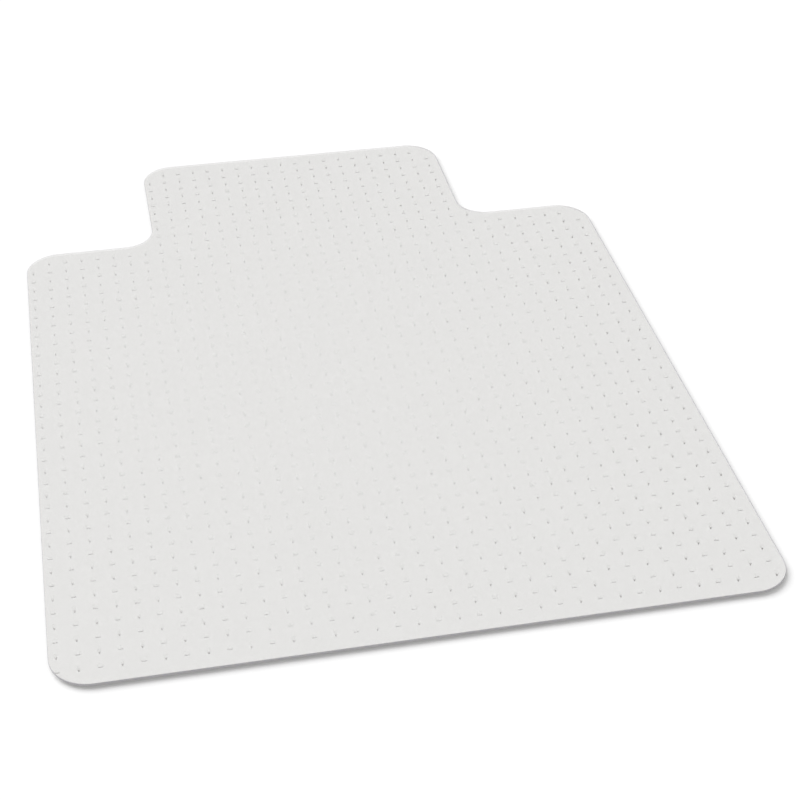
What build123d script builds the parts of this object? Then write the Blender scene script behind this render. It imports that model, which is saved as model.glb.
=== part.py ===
"""Office chair mat with a lip, for carpet: one semi-rigid vinyl sheet standing on a grid of short bar cleats.

The mat lies flat. +Z is up, +Y points from the user's edge towards the lip, which goes under the desk, and
+X is to the right. The origin is at carpet level, under the middle of the mat's bounding box. Millimetres.
"""
from build123d import *
import math
import os

# --- Driving dimensions: the sheet ----------------------------------------------------------------------
BODY_WIDTH = 914.4          # across the mat, left to right
BODY_LENGTH = 965.2         # user's edge to the shoulders beside the lip
LIP_WIDTH = 508.0           # the tongue that goes into the desk's knee hole
LIP_LENGTH = 254.0          # how far the lip runs on past the shoulders
SHEET_THICKNESS = 3.0       # solid vinyl, without the cleats
CORNER_RADIUS = 50.8        # the four body corners and the two lip corners
NOTCH_RADIUS = 47.0         # the two inside corners, where the lip meets the shoulders
EDGE_ROUND = 0.6            # the cut edge is eased by this along its top and its bottom

# --- Driving dimensions: the cleats ---------------------------------------------------------------------
CLEAT_PITCH = 25.4          # square grid of cleats, crosswise and lengthwise by turns
FIRST_COLUMN = 9.4          # left edge to the middle of the first column
FIRST_ROW = 32.8            # user's edge to the middle of the first row
CLEAT_HEIGHT = 4.5          # how far a cleat sinks into the carpet
CLEAT_ROOT_LENGTH = 7.6
CLEAT_ROOT_WIDTH = 3.6
CLEAT_TIP_LENGTH = 6.2
CLEAT_TIP_WIDTH = 0.9       # the tip is blunt, so that it grips the carpet and doesn't cut it
EDGE_LAND = 1.0             # plain sheet kept between a cleat's root and the cut edge

# --- Places worked out from the driving dimensions ------------------------------------------------------
OVERALL_LENGTH = BODY_LENGTH + LIP_LENGTH
HALF_BODY = BODY_WIDTH / 2
HALF_LIP = LIP_WIDTH / 2
USER_EDGE = -OVERALL_LENGTH / 2
SHOULDER_LINE = USER_EDGE + BODY_LENGTH
LIP_END = SHOULDER_LINE + LIP_LENGTH
UNDERSIDE = CLEAT_HEIGHT

OUTSIDE_CORNERS = {
    (-HALF_BODY, USER_EDGE),
    (HALF_BODY, USER_EDGE),
    (HALF_BODY, SHOULDER_LINE),
    (HALF_LIP, LIP_END),
    (-HALF_LIP, LIP_END),
    (-HALF_BODY, SHOULDER_LINE),
}


def plan():
    """The sheet's outline as a flat face: the body, and the narrower lip beyond its shoulders."""
    corners = [
        (-HALF_BODY, USER_EDGE),
        (HALF_BODY, USER_EDGE),
        (HALF_BODY, SHOULDER_LINE),
        (HALF_LIP, SHOULDER_LINE),
        (HALF_LIP, LIP_END),
        (-HALF_LIP, LIP_END),
        (-HALF_LIP, SHOULDER_LINE),
        (-HALF_BODY, SHOULDER_LINE),
    ]
    radii = [CORNER_RADIUS if corner in OUTSIDE_CORNERS else NOTCH_RADIUS for corner in corners]
    return make_face(FilletPolyline(*corners, radius=radii, close=True))


def sheet():
    """The solid vinyl sheet, with its cut edge eased above and below."""
    slab = Pos(0, 0, UNDERSIDE) * extrude(plan(), SHEET_THICKNESS)
    rims = slab.faces().sort_by(Axis.Z)[0].edges() + slab.faces().sort_by(Axis.Z)[-1].edges()
    return fillet(rims, EDGE_ROUND)


def cleat():
    """One crosswise cleat: a bar with drafted sides, its root at Z = 0 and its blunt tip below."""
    long_inset = (CLEAT_ROOT_LENGTH - CLEAT_TIP_LENGTH) / 2
    wide_inset = (CLEAT_ROOT_WIDTH - CLEAT_TIP_WIDTH) / 2
    bar = Wedge(
        CLEAT_ROOT_LENGTH,
        CLEAT_HEIGHT,
        CLEAT_ROOT_WIDTH,
        long_inset,
        wide_inset,
        CLEAT_ROOT_LENGTH - long_inset,
        CLEAT_ROOT_WIDTH - wide_inset,
        align=(Align.CENTER, Align.MIN, Align.CENTER),
    )
    return Rot(-90, 0, 0) * bar


def grid():
    """Every place in the cleat grid over the bounding box, as (x, y, whether the bar lies crosswise)."""
    columns = math.floor((BODY_WIDTH - FIRST_COLUMN) / CLEAT_PITCH) + 1
    rows = math.floor((OVERALL_LENGTH - FIRST_ROW) / CLEAT_PITCH) + 1
    for row in range(rows):
        for column in range(columns):
            x = -HALF_BODY + FIRST_COLUMN + column * CLEAT_PITCH
            y = USER_EDGE + FIRST_ROW + row * CLEAT_PITCH
            yield x, y, (row + column) % 2 == 0


def cleat_places():
    """The grid places whose whole root lies on the sheet, with the plain land around it."""
    room = offset(plan(), -EDGE_LAND).face()
    half_long, half_wide = CLEAT_ROOT_LENGTH / 2, CLEAT_ROOT_WIDTH / 2
    kept = []
    for x, y, crosswise in grid():
        reach_x, reach_y = (half_long, half_wide) if crosswise else (half_wide, half_long)
        ends = [(x + dx, y + dy) for dx in (-reach_x, reach_x) for dy in (-reach_y, reach_y)]
        if all(room.is_inside((end_x, end_y, 0)) for end_x, end_y in ends):
            kept.append((x, y, crosswise))
    return kept


def corner_places(places):
    """The place nearest to each outside corner of the sheet. These cleats carry the mat's rim."""
    return {min(places, key=lambda p: math.dist(p[:2], corner)) for corner in OUTSIDE_CORNERS}


def cleat_group(places):
    """Separate cleat solids at these places, in one compound."""
    crosswise_bar = cleat()
    lengthwise_bar = Rot(0, 0, 90) * crosswise_bar
    bars = [
        Pos(x, y, UNDERSIDE) * (crosswise_bar if crosswise else lengthwise_bar)
        for x, y, crosswise in places
    ]
    return Compound([bar.solid() for bar in bars])


def cleat_groups():
    """The cleats sorted into named groups, by where they are and which way they lie."""
    places = cleat_places()
    corners = corner_places(places)
    groups = {"corner_cleats": sorted(corners)}
    for part, beyond_shoulders in (("body", False), ("lip", True)):
        for lie, is_crosswise in (("crosswise", True), ("lengthwise", False)):
            groups[f"{part}_{lie}_cleats"] = [
                place
                for place in places
                if place not in corners
                and (place[1] > SHOULDER_LINE) == beyond_shoulders
                and place[2] == is_crosswise
            ]
    return {name: cleat_group(group) for name, group in groups.items()}


def main():
    os.makedirs("parts", exist_ok=True)
    nodes = {"sheet": sheet(), **cleat_groups()}
    for name, shape in nodes.items():
        export_step(shape, f"parts/{name}.step")
        print(name, len(shape.solids()), "solids")


main()
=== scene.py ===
# %% [markdown]
# # A clear chair mat with a lip
#
# A chair mat for carpet is one sheet of clear vinyl, about as thick as two coins. Its top is plain and very
# finely grained, so that casters roll and light doesn't glare. Its underside carries a square grid of short
# bars, the cleats, which sink into the carpet and hold the mat still. Everything that one sees on such a mat
# comes from three things: the cut edge, the cleats seen through the sheet, and the faint haze of the vinyl.
# This lesson makes each of them in turn, around the measured model, which is loaded first and never changed.

# %% Load the measured model
import math

import bmesh
import bpy
from mathutils import Matrix, Quaternion, Vector


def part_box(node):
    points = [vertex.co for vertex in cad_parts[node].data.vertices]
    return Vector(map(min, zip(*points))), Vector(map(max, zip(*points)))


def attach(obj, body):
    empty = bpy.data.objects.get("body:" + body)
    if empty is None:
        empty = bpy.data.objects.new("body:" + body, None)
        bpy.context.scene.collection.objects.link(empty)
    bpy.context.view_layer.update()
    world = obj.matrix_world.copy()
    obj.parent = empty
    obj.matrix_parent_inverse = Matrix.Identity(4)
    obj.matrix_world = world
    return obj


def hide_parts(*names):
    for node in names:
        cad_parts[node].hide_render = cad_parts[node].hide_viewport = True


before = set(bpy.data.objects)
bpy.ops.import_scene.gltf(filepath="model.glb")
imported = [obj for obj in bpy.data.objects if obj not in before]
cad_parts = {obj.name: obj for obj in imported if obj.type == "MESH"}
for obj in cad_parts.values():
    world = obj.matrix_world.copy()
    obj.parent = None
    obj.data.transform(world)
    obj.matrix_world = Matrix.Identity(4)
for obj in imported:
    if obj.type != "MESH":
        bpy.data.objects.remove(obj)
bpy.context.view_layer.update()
MM = 0.001

# %% [markdown]
# ## The camera
#
# The mat lies on the floor and is seen by someone who stands a good way back from its left-hand front corner
# and looks down at it. A long lens keeps the two long sides nearly parallel. Blender's camera looks along
# its own -Z, so `to_track_quat` turns it towards the aim point, and a last small turn about its own Z axis
# is the tilt of a camera held by hand.

# %% Set up the camera
CAMERA_PLACE = Vector((-0.3472, -2.0714, 1.4593))
CAMERA_AIM = Vector((0.0523, -0.1245, 0.0))
CAMERA_TILT = math.radians(0.33)
LENS_MM = 78.07
SENSOR_MM = 36.0


def add_camera():
    data = bpy.data.cameras.new("camera")
    data.lens = LENS_MM
    data.sensor_width = SENSOR_MM
    camera = bpy.data.objects.new("camera", data)
    bpy.context.scene.collection.objects.link(camera)
    camera.location = CAMERA_PLACE
    camera.rotation_mode = "QUATERNION"
    look = (CAMERA_AIM - CAMERA_PLACE).to_track_quat("-Z", "Y")
    camera.rotation_quaternion = look @ Quaternion((0, 0, 1), CAMERA_TILT)
    bpy.context.scene.camera = camera


add_camera()
print("the camera is", round((CAMERA_AIM - CAMERA_PLACE).length, 2), "m from what it looks at")

# %% [markdown]
# ## Sums inside a material
#
# Floor, sky and vinyl all need small sums on numbers that differ from ray to ray, such as which face of a
# surface is seen. Blender does these with Math nodes. Two helpers keep the sums readable: one makes a single
# Math node, and one gives the value that lies a share of the way between two others.

# %% Helpers for node sums


def arithmetic(nodes, links, operation, first, second):
    """One Math node. Each input is a socket or a plain number."""
    node = nodes.new("ShaderNodeMath")
    node.operation = operation
    for socket, given in zip(node.inputs, (first, second)):
        if isinstance(given, bpy.types.NodeSocket):
            links.new(given, socket)
        else:
            socket.default_value = given
    return node.outputs[0]


def between(nodes, links, start, end, share):
    """The value that lies a share of the way from start to end."""
    span = arithmetic(nodes, links, "SUBTRACT", end, start)
    step = arithmetic(nodes, links, "MULTIPLY", span, share)
    return arithmetic(nodes, links, "ADD", step, start)


# %% [markdown]
# ## The floor
#
# A pale floor lit until it is just white gives the plain look of a studio: only what blocks the light still
# shows. It lies a hair below the cleats' tips. Its Alpha is the opposite of Backfacing, so it is there only
# for whoever looks down at it, and the cleats can be looked at from below.

# %% Lay the floor
FLOOR_GAP = 0.2 * MM
FLOOR_REACH = 30.0
FLOOR_COLOUR = (0.9, 0.9, 0.9, 1)


def floor_paint():
    paint = bpy.data.materials.new("pale floor")
    paint.use_nodes = True
    nodes, links = paint.node_tree.nodes, paint.node_tree.links
    shader = nodes["Principled BSDF"]
    shader.inputs["Base Color"].default_value = FLOOR_COLOUR
    shader.inputs["Roughness"].default_value = 1.0
    shader.inputs["Specular IOR Level"].default_value = 0.0
    side = nodes.new("ShaderNodeNewGeometry")
    from_above = arithmetic(nodes, links, "SUBTRACT", 1.0, side.outputs["Backfacing"])
    links.new(from_above, shader.inputs["Alpha"])
    return paint


def add_floor():
    mesh = bmesh.new()
    bmesh.ops.create_grid(mesh, x_segments=1, y_segments=1, size=FLOOR_REACH)
    bmesh.ops.translate(mesh, verts=mesh.verts, vec=(0, 0, -FLOOR_GAP))
    data = bpy.data.meshes.new("floor")
    mesh.to_mesh(data)
    mesh.free()
    data.materials.append(floor_paint())
    floor = bpy.data.objects.new("floor", data)
    bpy.context.scene.collection.objects.link(floor)


add_floor()
print("the floor lies", round(FLOOR_GAP / MM, 1), "mm below the cleats' tips")

# %% [markdown]
# ## The light
#
# A broad soft light comes from behind the mat and from its left, so that the thin shadow falls towards the
# viewer and to the right. A sun lamp with a wide angle does this evenly over the whole floor, where a lamp
# close by would fall off. The rest of the light is an even sky. Light Path tells the sky whether it is looked
# at or lights something, so it can look as white as the floor and still be a gentle light. The plain
# `Standard` view keeps white as white, where the filmic one would turn it grey.

# %% Light the floor
SKY_STRENGTH = 0.56
SKY_LOOKED_AT = 1.0
SUN_STRENGTH = 2.55
SUN_HEIGHT = math.radians(49)
SUN_SWING = math.radians(47)
SUN_SPREAD = math.radians(60)


def add_sky():
    world = bpy.data.worlds.new("white sky")
    world.use_nodes = True
    nodes, links = world.node_tree.nodes, world.node_tree.links
    sky = nodes["Background"]
    sky.inputs["Color"].default_value = (1, 1, 1, 1)
    path = nodes.new("ShaderNodeLightPath")
    strength = between(nodes, links, SKY_STRENGTH, SKY_LOOKED_AT, path.outputs["Is Camera Ray"])
    links.new(strength, sky.inputs["Strength"])
    bpy.context.scene.world = world


def add_sun():
    data = bpy.data.lights.new("soft sun", "SUN")
    data.energy = SUN_STRENGTH
    data.angle = SUN_SPREAD
    sun = bpy.data.objects.new("soft sun", data)
    level = math.cos(SUN_HEIGHT)
    shine = Vector((level * math.sin(SUN_SWING), -level * math.cos(SUN_SWING), -math.sin(SUN_HEIGHT)))
    sun.rotation_mode = "QUATERNION"
    sun.rotation_quaternion = shine.to_track_quat("-Z", "Y")
    bpy.context.scene.collection.objects.link(sun)


add_sky()
add_sun()
bpy.context.scene.view_settings.view_transform = "Standard"
print("the sun stands", round(math.degrees(SUN_HEIGHT)), "degrees high")

# %% [markdown]
# ## Grain and haze
#
# Two effects are on every face of the vinyl. One is the fine pebble grain that the rollers press into it so
# that it doesn't glare. The other is a slow, faint cloudiness from the way the plastic cooled. Both go into
# one node group, which reads the object's own coordinates in metres and gives out a height for a Bump node
# and a mask for colour. Each material places the group with its own sizes. Plain noise does for both,
# because a cell pattern is many times slower to look up on every clear face that a ray passes.

# %% Build the grain group
CLOUDS_PER_METRE = 6.0


def grain_group():
    group = bpy.data.node_groups.new("vinyl grain", "ShaderNodeTree")
    face = group.interface
    face.new_socket("Pebbles per metre", in_out="INPUT", socket_type="NodeSocketFloat")
    face.new_socket("Clouds per metre", in_out="INPUT", socket_type="NodeSocketFloat")
    face.new_socket("Height", in_out="OUTPUT", socket_type="NodeSocketFloat")
    face.new_socket("Cloud", in_out="OUTPUT", socket_type="NodeSocketFloat")
    nodes, links = group.nodes, group.links
    given = nodes.new("NodeGroupInput")
    made = nodes.new("NodeGroupOutput")
    place = nodes.new("ShaderNodeTexCoord")
    for size, detail, result in (("Pebbles per metre", 0.0, "Height"), ("Clouds per metre", 1.0, "Cloud")):
        noise = nodes.new("ShaderNodeTexNoise")
        noise.inputs["Detail"].default_value = detail
        links.new(place.outputs["Object"], noise.inputs["Vector"])
        links.new(given.outputs[size], noise.inputs["Scale"])
        links.new(noise.outputs["Fac"], made.inputs[result])
    return group


GRAIN = grain_group()
outputs = [socket.name for socket in GRAIN.interface.items_tree if socket.in_out == "OUTPUT"]
print("the grain group puts out", outputs)

# %% [markdown]
# ## The vinyl
#
# Clear plastic can be made as glass, which bends light, or as a thin veil, which only lets part of it
# through. A sheet this thin bends light by less than a millimetre, so a veil looks the same, and it lets the
# lamp light the floor beneath it without grain in the picture. The veil is the shader's Alpha: each of the
# sheet's two faces stops a small share of the light. Seen end on, as at the cut edge, the plastic is
# centimetres deep, so there the same vinyl is darker and less clear. The dark walls of the cut edge and of
# the cleats also carry painted shade, set by the way each face is turned.

# %% Mix a vinyl
VINYL_IOR = 1.53
VINYL_GLOSS = 0.25
GRAIN_DEPTH = 0.03 * MM
CLOUD_SHADE = 0.985
CLOUD_EDGES = (0.3, 0.7)


def vinyl(name, tint, veil, roughness, pebbles):
    material = bpy.data.materials.new(name)
    material.use_nodes = True
    nodes, links = material.node_tree.nodes, material.node_tree.links
    shader = nodes["Principled BSDF"]
    shader.inputs["Alpha"].default_value = veil
    shader.inputs["Roughness"].default_value = roughness
    shader.inputs["IOR"].default_value = VINYL_IOR
    shader.inputs["Specular IOR Level"].default_value = VINYL_GLOSS
    grain = nodes.new("ShaderNodeGroup")
    grain.node_tree = GRAIN
    grain.inputs["Pebbles per metre"].default_value = pebbles
    grain.inputs["Clouds per metre"].default_value = CLOUDS_PER_METRE
    shade = nodes.new("ShaderNodeValToRGB")
    for stop, position, share in zip(shade.color_ramp.elements, CLOUD_EDGES, (CLOUD_SHADE, 1.0)):
        stop.position = position
        stop.color = (*(share * part for part in tint), 1)
    bump = nodes.new("ShaderNodeBump")
    bump.inputs["Distance"].default_value = GRAIN_DEPTH
    links.new(grain.outputs["Cloud"], shade.inputs["Fac"])
    links.new(shade.outputs["Color"], shader.inputs["Base Color"])
    links.new(grain.outputs["Height"], bump.inputs["Height"])
    links.new(bump.outputs["Normal"], shader.inputs["Normal"])
    return material


# %% [markdown]
# ## Shade on the open floor
#
# Real vinyl passes most of its light on to the floor beneath it, and its edge throws the rest aside. So a mat
# has a soft shadow along its edge and hardly any shade under it. A veil can't bend light, but Light Path can
# tell the rays apart. Rays that look at the mat meet the veil. Shadow and diffuse rays that set out from open
# floor meet a nearly solid mat. Those that set out from something already seen through the vinyl, which shows
# in their Transparent Depth, meet nothing.

# %% Tell the rays apart
SEEN_DIRECTLY = 0.5


def shade_open_floor_only(material, veil, open_veil):
    """Links Alpha so that the piece shades open floor, but not what is already seen through the vinyl."""
    nodes, links = material.node_tree.nodes, material.node_tree.links
    path = nodes.new("ShaderNodeLightPath")
    lights = arithmetic(
        nodes, links, "MAXIMUM", path.outputs["Is Shadow Ray"], path.outputs["Is Diffuse Ray"]
    )
    is_open = arithmetic(nodes, links, "LESS_THAN", path.outputs["Transparent Depth"], SEEN_DIRECTLY)
    casts = arithmetic(nodes, links, "MULTIPLY", is_open, open_veil)
    total = between(nodes, links, veil, casts, lights)
    links.new(total, nodes["Principled BSDF"].inputs["Alpha"])


# %% Mix the vinyl of the sheet
SHEET_TINT = (0.352, 0.342, 0.322)
SHEET_VEIL = 0.25
SHADOW_VEIL = 0.85
SHEET_ROUGHNESS = 0.5
SHEET_PEBBLES = 900.0

SHEET_VINYL = vinyl("clear vinyl sheet", SHEET_TINT, SHEET_VEIL, SHEET_ROUGHNESS, SHEET_PEBBLES)
shade_open_floor_only(SHEET_VINYL, SHEET_VEIL, SHADOW_VEIL)
print("the sheet's two faces let through", round((1 - SHEET_VEIL) ** 2, 2), "of the light")

# %% [markdown]
# ## The cut edge
#
# Along the user's side the edge is dark: it faces away from the light, and that shade is painted into the
# edge's dark tint and thick veil rather than cast by the lamp. On the left, where the light comes in through
# it, the painted veil is thinner, so it is nearly as clear as the top. Looking out through an edge from
# within the sheet, one sees little of it, except on the right, where it closes the view with a thin grey
# line. Which way a face is turned comes from the Normal output of Texture Coordinate, in the mat's own
# directions. That output is turned round on a face that is seen from inside, and Backfacing turns it back.

# %% Find which way a face is turned
LEFT, RIGHT, FRONT, DOWN = (-1, 0, 0), (1, 0, 0), (0, -1, 0), (0, 0, -1)


def facing(nodes, links, side, sharpness=1.0):
    """How squarely the surface's outer face is turned to one side of the mat, from 0 to 1."""
    place = nodes.new("ShaderNodeTexCoord")
    turn = nodes.new("ShaderNodeVectorMath")
    turn.operation = "DOT_PRODUCT"
    links.new(place.outputs["Normal"], turn.inputs[0])
    turn.inputs[1].default_value = side
    seen_from = nodes.new("ShaderNodeNewGeometry")
    outward = between(nodes, links, 1.0, -1.0, seen_from.outputs["Backfacing"])
    turned = arithmetic(nodes, links, "MULTIPLY", turn.outputs["Value"], outward)
    return arithmetic(nodes, links, "POWER", arithmetic(nodes, links, "MAXIMUM", turned, 0.0), sharpness)


# %% Mix the vinyl of the cut edge
# The cut edge's dark tint and thick veil are painted shade where it faces away from the light; the thin left
# veil is where the light comes in.
EDGE_TINT_AND_SHADE = (0.38, 0.37, 0.39)
EDGE_VEIL = 0.9
EDGE_LEFT_VEIL = 0.25
EDGE_INNER_VEIL = 0.1
EDGE_RIGHT_INNER_VEIL = 0.5
EDGE_ROUGHNESS = 0.5
STRAIGHT_ONLY = 12.0
FINE_PEBBLES = 1500.0


def add_edge_shade(material):
    """Painted shade: dark from outside except on the left, where the light comes in, and clear from within
    the sheet except on the right.
    """
    nodes, links = material.node_tree.nodes, material.node_tree.links
    outer = between(nodes, links, EDGE_VEIL, EDGE_LEFT_VEIL, facing(nodes, links, LEFT, STRAIGHT_ONLY))
    inner = between(nodes, links, EDGE_INNER_VEIL, EDGE_RIGHT_INNER_VEIL, facing(nodes, links, RIGHT))
    seen_from = nodes.new("ShaderNodeNewGeometry")
    total = between(nodes, links, outer, inner, seen_from.outputs["Backfacing"])
    shade_open_floor_only(material, total, EDGE_VEIL)


EDGE_VINYL = vinyl("cut edge of the vinyl", EDGE_TINT_AND_SHADE, EDGE_VEIL, EDGE_ROUGHNESS, FINE_PEBBLES)
add_edge_shade(EDGE_VINYL)
print("the cut edge lets through", round(1 - EDGE_VEIL, 2), "of the light in front")

# %% [markdown]
# ## The vinyl of the cleats
#
# A cleat is the same clear vinyl, so most of it vanishes against the sheet. What shows is where its drafted
# walls turn away from the light, towards the user's edge, and where its blunt tip ends: a thin dark dash for
# a crosswise cleat, and a small dark V for a lengthwise one, from the two blunted corners of its end. A thin
# veil can't bend light as real vinyl does, so this shade is painted: a dark veil is put on those walls,
# corners and tip by the way they face, not cast by the lamp. Each of them fades with height above the floor,
# the corners more slowly than the rest, and a high power of `facing` picks out a corner alone. The painted
# shade is strongest on cleats near the rim and fades almost to nothing in the middle of the mat.

# %% Place the shade on a cleat
# The cleats' dark tint shows only where the veil is thick, so it is the colour of the painted shade on their
# walls, corners and tips.
CLEAT_SHADE_TINT = (0.1, 0.1, 0.1)
CLEAT_ROUGHNESS = 0.3
ROOT_VEIL = 0.001
# Half widths across and along the mat, in metres, at which the painted shade on the cleats reaches full
# strength.
SHADE_FADE_REACH = (0.64, 0.79)
SLANT = math.sqrt(0.5)
FRONT_LEFT, FRONT_RIGHT = (-SLANT, -SLANT, 0), (SLANT, -SLANT, 0)
WHOLE_WALL, CORNER_ONLY = 1.0, 8.0


def painted_shade_rim_weight(nodes, links, split, middle, least):
    """A mask for the painted shade: least in the middle of the mat and 1 at the rim. Middle and reach are in
    metres.
    """
    squares = []
    for axis, centre, reach in zip("XY", middle, SHADE_FADE_REACH):
        aside = arithmetic(nodes, links, "SUBTRACT", split.outputs[axis], centre)
        share = arithmetic(nodes, links, "DIVIDE", aside, reach)
        squares.append(arithmetic(nodes, links, "MULTIPLY", share, share))
    rim = nodes.new("ShaderNodeMapRange")
    rim.inputs["To Min"].default_value = least
    links.new(arithmetic(nodes, links, "ADD", *squares), rim.inputs["Value"])
    return rim.outputs[0]


def add_cleat_shade(material, middle, least, sides):
    """Links Alpha, as painted shade, to the wall's direction, its height above the floor and the distance
    from the middle of the mat.

    Each side is a direction, how sharply it is picked out, its veil at the floor, and the height where that
    veil would have faded away.
    """
    nodes, links = material.node_tree.nodes, material.node_tree.links
    place = nodes.new("ShaderNodeTexCoord")
    split = nodes.new("ShaderNodeSeparateXYZ")
    links.new(place.outputs["Object"], split.inputs[0])
    shown = 0.0
    for side, sharpness, weight, fade in sides:
        lowness = nodes.new("ShaderNodeMapRange")
        lowness.inputs["From Min"].default_value = fade
        lowness.inputs["From Max"].default_value = 0.0
        links.new(split.outputs["Z"], lowness.inputs["Value"])
        part = arithmetic(nodes, links, "MULTIPLY", facing(nodes, links, side, sharpness), weight)
        part = arithmetic(nodes, links, "MULTIPLY", part, lowness.outputs[0])
        shown = arithmetic(nodes, links, "ADD", part, shown)
    # The painted shade is weakened in the middle of the mat and full at the rim.
    mask = painted_shade_rim_weight(nodes, links, split, middle, least)
    shown = arithmetic(nodes, links, "MULTIPLY", shown, mask)
    total = arithmetic(nodes, links, "ADD", shown, ROOT_VEIL)
    shade_open_floor_only(material, total, ROOT_VEIL)


# %% Mix the vinyl of the cleats
# Painted shade: each cleat material gets a dark veil on the listed sides, faded with height and weakened in
# the middle of the mat.
CROSSWISE_VINYL = vinyl(
    "vinyl of the crosswise cleats", CLEAT_SHADE_TINT, ROOT_VEIL, CLEAT_ROUGHNESS, FINE_PEBBLES
)
add_cleat_shade(
    CROSSWISE_VINYL,
    middle=(-0.03, -0.05),
    least=0.01,
    sides=(
        (FRONT, WHOLE_WALL, 0.85, 2.3 * MM),
        (DOWN, WHOLE_WALL, 0.45, 2.3 * MM),
        (FRONT_LEFT, CORNER_ONLY, 0.7, 6.5 * MM),
    ),
)
LENGTHWISE_VINYL = vinyl(
    "vinyl of the lengthwise cleats", CLEAT_SHADE_TINT, ROOT_VEIL, CLEAT_ROUGHNESS, FINE_PEBBLES
)
add_cleat_shade(
    LENGTHWISE_VINYL,
    middle=(-0.1, -0.06),
    least=0.1,
    sides=(
        (FRONT, WHOLE_WALL, 0.9, 6.5 * MM),
        (LEFT, WHOLE_WALL, 0.08, 6.5 * MM),
        (DOWN, WHOLE_WALL, 0.1, 6.5 * MM),
        (FRONT_LEFT, CORNER_ONLY, 1.6, 9.0 * MM),
        (FRONT_RIGHT, CORNER_ONLY, 1.6, 9.0 * MM),
    ),
)
print("a cleat's clear root has a veil of", ROOT_VEIL)

# %% [markdown]
# ## The sheet
#
# The sheet is die cut from a wide roll: a plain outline with round corners, and an edge that is eased a
# little where the knife leaves it. The outline has eight corners. It is drawn with sharp corners as one
# face, extruded to its thickness, and then the upright edges are bevelled to their radii and the rims are
# bevelled to the easing. Bevelling real edges keeps every wall square and every arc even, which a drawn
# polygon of many points wouldn't.

# %% Measures of the sheet
SHEET_LOW, SHEET_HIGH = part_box("sheet")
UNDERSIDE = SHEET_LOW.z
THICKNESS = SHEET_HIGH.z - UNDERSIDE
LIP_WIDTH = 508.0 * MM
HALF_LIP = LIP_WIDTH / 2
LIP_LENGTH = 254.0 * MM
SHOULDER = SHEET_HIGH.y - LIP_LENGTH
CORNER_RADIUS = 50.8 * MM
NOTCH_RADIUS = 47.0 * MM
EDGE_ROUND = 0.6 * MM
CORNER_STEPS = 24
EDGE_STEPS = 3
FLAT_ENOUGH = 0.999
SHARP_ENOUGH = 1.0
print("the sheet is", round(THICKNESS / MM, 2), "mm thick")


# %% Helpers that finish a mesh
def bevel(mesh, edges, offset, segments):
    """Cuts edges to round or flat bevels that take the faces' own material."""
    bmesh.ops.bevel(
        mesh, geom=edges, offset=offset, affect="EDGES", segments=segments, profile=0.5, material=-1
    )


def finish_piece(name, mesh, materials, stands_for):
    """Turns a bmesh into a piece that rides on the mat and stands for one measured node."""
    bmesh.ops.recalc_face_normals(mesh, faces=mesh.faces)
    data = bpy.data.meshes.new(name)
    mesh.to_mesh(data)
    mesh.free()
    for material in materials:
        data.materials.append(material)
    piece = bpy.data.objects.new(name, data)
    bpy.context.scene.collection.objects.link(piece)
    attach(piece, "root")
    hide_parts(stands_for)
    print(name, "has", len(data.polygons), "faces")


# %% Round the corners and ease the rims
def is_notch(foot):
    """Whether an upright edge stands in one of the two inside corners beside the lip."""
    return abs(abs(foot.x) - HALF_LIP) < MM and abs(foot.y - SHOULDER) < MM


def round_corners(mesh):
    """Bevels the upright edges: the two inside corners to one radius, the six outside ones to another."""
    for wants_notch, radius in ((True, NOTCH_RADIUS), (False, CORNER_RADIUS)):
        upright = []
        for edge in mesh.edges:
            foot, head = (vert.co for vert in edge.verts)
            stands = abs(head.z - foot.z) > THICKNESS / 2
            if stands and edge.calc_face_angle(0) > SHARP_ENOUGH and is_notch(foot) == wants_notch:
                upright.append(edge)
        bevel(mesh, upright, radius, CORNER_STEPS)


def ease_rims(mesh):
    """Bevels the sharp rims round the sheet's top and underside."""
    mesh.normal_update()
    broad = [face for face in mesh.faces if abs(face.normal.z) > FLAT_ENOUGH]
    rims = {edge for face in broad for edge in face.edges}
    bevel(mesh, list(rims), EDGE_ROUND, EDGE_STEPS)
    mesh.normal_update()


# %% Cut the sheet
def sheet_piece():
    left_half = [
        (SHEET_LOW.x, SHEET_LOW.y),
        (SHEET_LOW.x, SHOULDER),
        (-HALF_LIP, SHOULDER),
        (-HALF_LIP, SHEET_HIGH.y),
    ]
    right_half = [(-x, y) for x, y in reversed(left_half)]
    mesh = bmesh.new()
    corners = [mesh.verts.new((x, y, UNDERSIDE)) for x, y in left_half + right_half]
    blank = mesh.faces.new(corners)
    grown = bmesh.ops.extrude_face_region(mesh, geom=[blank])
    top = [part for part in grown["geom"] if isinstance(part, bmesh.types.BMVert)]
    bmesh.ops.translate(mesh, verts=top, vec=(0, 0, THICKNESS))
    round_corners(mesh)
    ease_rims(mesh)
    for face in mesh.faces:
        is_flat = abs(face.normal.z) > FLAT_ENOUGH
        face.smooth = not is_flat
        face.material_index = 0 if is_flat else 1
    finish_piece("clear_sheet", mesh, [SHEET_VINYL, EDGE_VINYL], "sheet")


sheet_piece()

# %% [markdown]
# ## The places of the cleats
#
# There are more than a thousand cleats, in a checkerboard of bars that lie across the mat and bars that lie
# along it. Their places are read from the measured model, so no cleat can be left out or shifted. Each
# measured node holds many loose solids. Its triangles are merged into whole solids in a copy, and a walk from
# point to point along the edges gathers one cleat at a time.

# %% Find where the cleats are
CLEAT_NODES = sorted(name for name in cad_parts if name.endswith("_cleats"))
MERGE_WITHIN = 0.01 * MM


def loose_parts(mesh):
    """The vertices of each loose solid in a mesh."""
    seen = set()
    parts = []
    for start in mesh.verts:
        if start in seen:
            continue
        part, queue = [], [start]
        seen.add(start)
        while queue:
            vert = queue.pop()
            part.append(vert)
            for edge in vert.link_edges:
                other = edge.other_vert(vert)
                if other not in seen:
                    seen.add(other)
                    queue.append(other)
        parts.append(part)
    return parts


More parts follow.
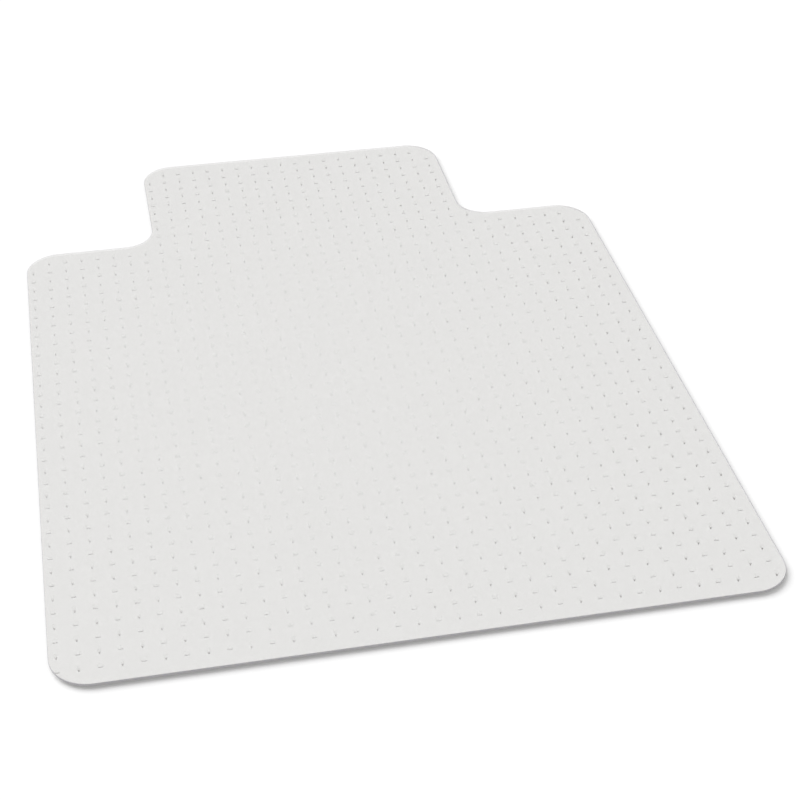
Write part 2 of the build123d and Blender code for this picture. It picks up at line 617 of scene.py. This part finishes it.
def cleat_places(node):
    """The middle of each cleat's root, and whether the cleat lies crosswise."""
    mesh = bmesh.new()
    mesh.from_mesh(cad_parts[node].data)
    bmesh.ops.remove_doubles(mesh, verts=mesh.verts, dist=MERGE_WITHIN)
    places = []
    for part in loose_parts(mesh):
        across = [vert.co.x for vert in part]
        along = [vert.co.y for vert in part]
        middle = Vector(((min(across) + max(across)) / 2, (min(along) + max(along)) / 2, UNDERSIDE))
        places.append((middle, max(across) - min(across) > max(along) - min(along)))
    mesh.free()
    return places


PLACES = {node: cleat_places(node) for node in CLEAT_NODES}
print({node: len(places) for node, places in PLACES.items()})

# %% [markdown]
# ## One cleat
#
# A cleat is a short bar with drafted sides and blunt ends, so that it leaves its mould. It runs out into the
# sheet with a small flare, and its tip is softened. It starts as a cube at the size of its root. Its upright
# edges are cut off, its lower face is shrunk to the tip, and the root face is swept up into the sheet and
# widened. It has only a few dozen faces, because it is copied so often.

# %% Make one cleat
ROOT_LENGTH, ROOT_WIDTH = 7.6 * MM, 3.6 * MM
TIP_LENGTH, TIP_WIDTH = 6.2 * MM, 0.9 * MM
FLARE = 0.45 * MM
SUNK = 0.3 * MM
TIP_ROUND = 0.2 * MM
END_ROUND = 0.6 * MM
NEAR_TIP = 0.9
AT_ROOT = 0.01 * MM


def one_cleat():
    """A crosswise cleat, with the middle of its root at the origin and its tip below, down to the floor."""
    depth = UNDERSIDE
    mesh = bmesh.new()
    bmesh.ops.create_cube(mesh, size=1.0)
    bmesh.ops.scale(mesh, vec=(ROOT_LENGTH, ROOT_WIDTH, depth), verts=mesh.verts)
    bmesh.ops.translate(mesh, vec=(0, 0, -depth / 2), verts=mesh.verts)
    upright = [edge for edge in mesh.edges if abs(edge.verts[0].co.z - edge.verts[1].co.z) > depth / 2]
    bevel(mesh, upright, END_ROUND, 1)
    tip = [vert for vert in mesh.verts if vert.co.z < -depth / 2]
    bmesh.ops.scale(mesh, vec=(TIP_LENGTH / ROOT_LENGTH, TIP_WIDTH / ROOT_WIDTH, 1), verts=tip)
    tip_edges = [edge for edge in mesh.edges if all(vert.co.z < -depth * NEAR_TIP for vert in edge.verts)]
    bevel(mesh, tip_edges, TIP_ROUND, 1)
    add_flare(mesh)
    return mesh


def add_flare(mesh):
    """Sweeps the root face up into the sheet and widens it there."""
    root = [face for face in mesh.faces if face.calc_center_median().z > -AT_ROOT]
    swept = bmesh.ops.extrude_face_region(mesh, geom=root)
    ring = [part for part in swept["geom"] if isinstance(part, bmesh.types.BMVert)]
    bmesh.ops.delete(mesh, geom=root, context="FACES_ONLY")
    bmesh.ops.translate(mesh, vec=(0, 0, SUNK), verts=ring)
    bmesh.ops.scale(mesh, vec=(1 + 2 * FLARE / ROOT_LENGTH, 1 + 2 * FLARE / ROOT_WIDTH, 1), verts=ring)


def cleat_mesh(is_crosswise):
    """The cleat as a finished mesh: crosswise, or turned a quarter to lie lengthwise."""
    mesh = one_cleat()
    if not is_crosswise:
        quarter = Matrix.Rotation(math.pi / 2, 3, "Z")
        bmesh.ops.rotate(mesh, cent=(0, 0, 0), matrix=quarter, verts=mesh.verts)
    for face in mesh.faces:
        face.material_index = 0 if is_crosswise else 1
    data = bpy.data.meshes.new("crosswise cleat" if is_crosswise else "lengthwise cleat")
    mesh.to_mesh(data)
    mesh.free()
    return data


CLEATS = {is_crosswise: cleat_mesh(is_crosswise) for is_crosswise in (True, False)}
print("one cleat has", len(CLEATS[True].polygons), "faces")


# %% Set the cleats down
def cleat_piece(node):
    """Copies of the cleat at every place of one measured node, joined into one piece."""
    mesh = bmesh.new()
    for middle, is_crosswise in PLACES[node]:
        before = len(mesh.verts)
        mesh.from_mesh(CLEATS[is_crosswise])
        mesh.verts.ensure_lookup_table()
        bmesh.ops.translate(mesh, vec=middle, verts=mesh.verts[before:])
    finish_piece("moulded_" + node, mesh, [CROSSWISE_VINYL, LENGTHWISE_VINYL], node)


for node in CLEAT_NODES:
    cleat_piece(node)
